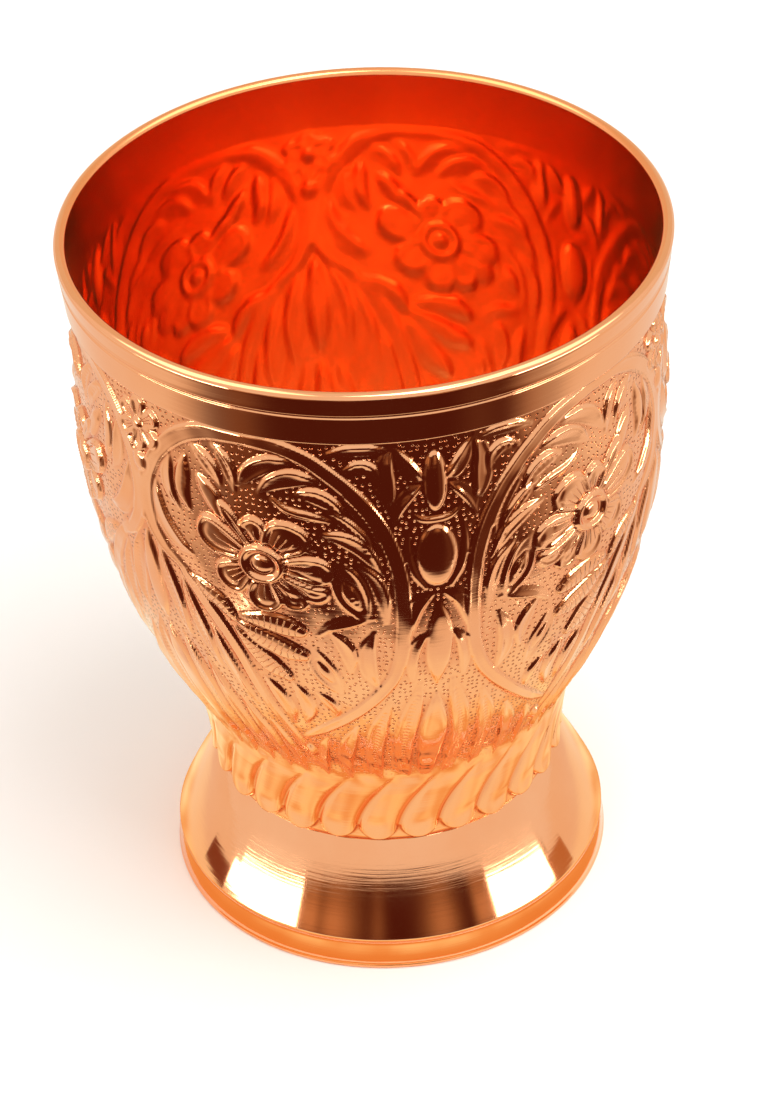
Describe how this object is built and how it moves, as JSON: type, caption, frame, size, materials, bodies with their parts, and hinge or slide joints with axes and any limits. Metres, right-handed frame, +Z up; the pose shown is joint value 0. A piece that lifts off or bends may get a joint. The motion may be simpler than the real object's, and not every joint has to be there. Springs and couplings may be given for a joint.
{
  "type": "copper tumbler",
  "caption": "Embossed copper drinking tumbler with a bulging open cup, a hemmed lip and a narrow neck on a plain domed pedestal foot.",
  "frame": {"origin": "middle of the face that the foot stands on", "axes": "+Z up along the tumbler's axis; -Y is the side that faces the viewer in the picture"},
  "size_m": [0.078, 0.078, 0.1004],
  "materials": {
    "embossed_copper": "polished, with a dull warm patina in the recesses",
    "polished_copper": "mirror polished, with fine turning lines",
    "plate_copper": "satin",
    "brazing_alloy": "satin"
  },
  "bodies": {
    "root": {"cup": "embossed_copper", "neck_braze": "brazing_alloy", "foot": "polished_copper", "base_plate": "plate_copper", "base_solder": "brazing_alloy"}
  },
  "joints": []
}
